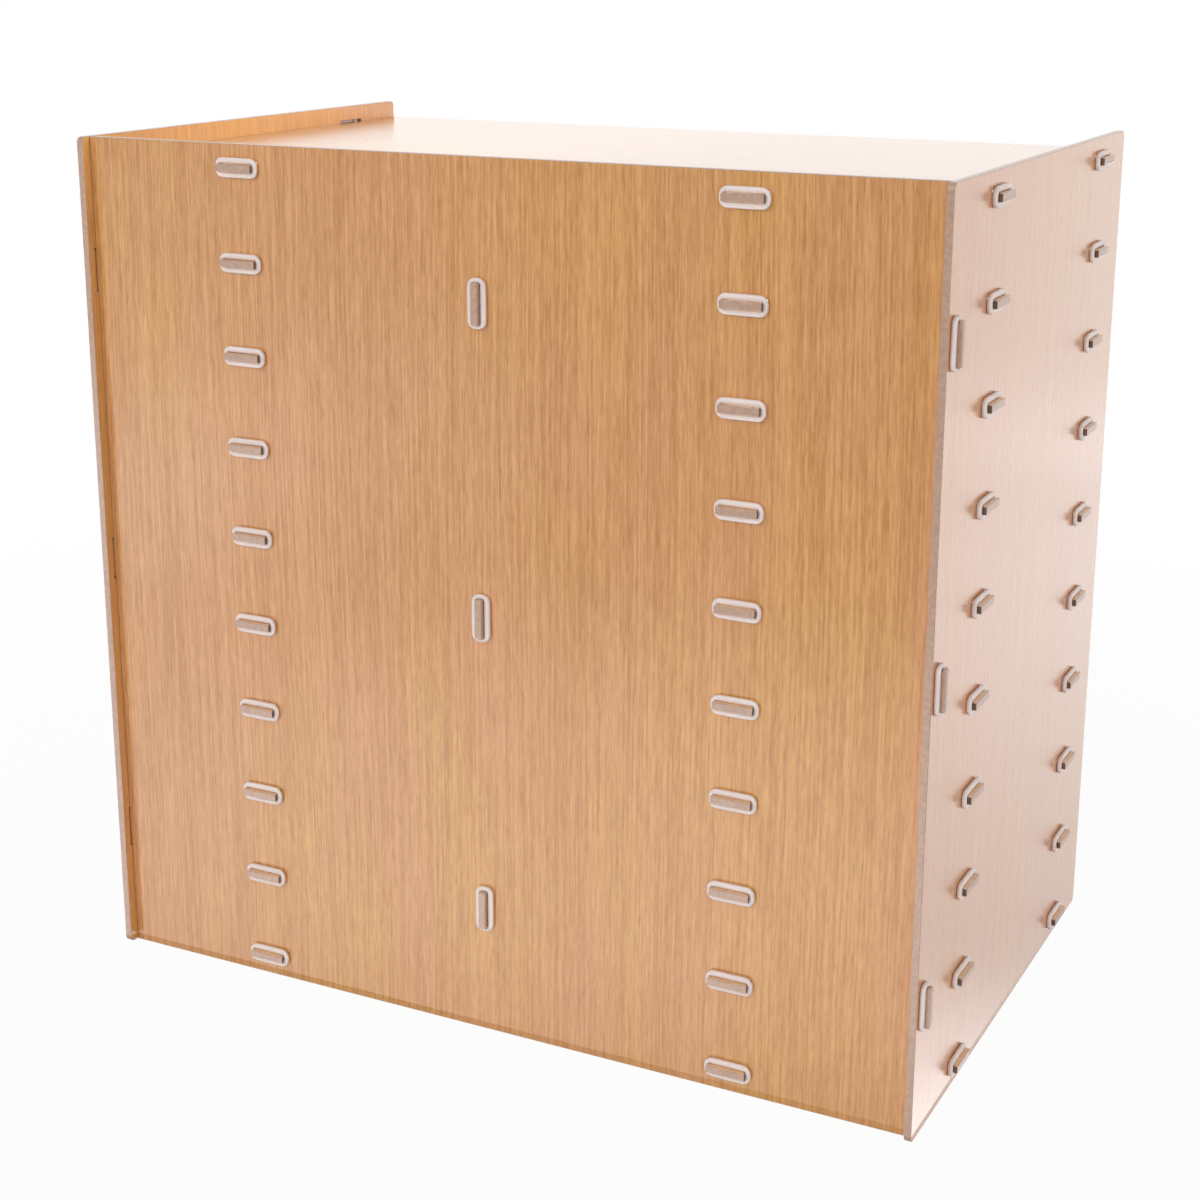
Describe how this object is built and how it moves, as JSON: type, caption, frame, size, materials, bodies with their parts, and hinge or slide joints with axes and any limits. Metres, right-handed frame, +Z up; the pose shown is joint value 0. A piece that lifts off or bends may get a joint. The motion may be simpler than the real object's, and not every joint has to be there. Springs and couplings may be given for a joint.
{
  "type": "document sorter",
  "caption": "Desktop document sorter of thin slotted boards locked by elastic rings, with open compartments for paper on both sides of a divider.",
  "frame": {"origin": "centre of the footprint, on the surface that the sorter stands on", "axes": "+X to the right seen from the open front, +Y from the front to the back panel, +Z up"},
  "size_m": [0.51, 0.32, 0.484],
  "materials": {
    "oak_upright": "satin oak foil on both faces, raw edges",
    "oak_level": "satin oak foil on both faces, raw edges",
    "elastic_ring": "soft matte silicone"
  },
  "bodies": {
    "root": {"left_side_panel": "oak_upright", "right_side_panel": "oak_upright", "back_panel": "oak_upright", "centre_divider": "oak_upright", "bottom_board": "oak_level", "shelf_1": "oak_level", "shelf_2": "oak_level", "shelf_3": "oak_level", "shelf_4": "oak_level", "shelf_5": "oak_level", "shelf_6": "oak_level", "shelf_7": "oak_level", "shelf_8": "oak_level", "top_board": "oak_level", "back_left_rings": "elastic_ring", "back_right_rings": "elastic_ring", "divider_rings": "elastic_ring", "left_front_rings": "elastic_ring", "left_rear_rings": "elastic_ring", "left_back_panel_rings": "elastic_ring", "right_front_rings": "elastic_ring", "right_rear_rings": "elastic_ring", "right_back_panel_rings": "elastic_ring"}
  },
  "joints": []
}
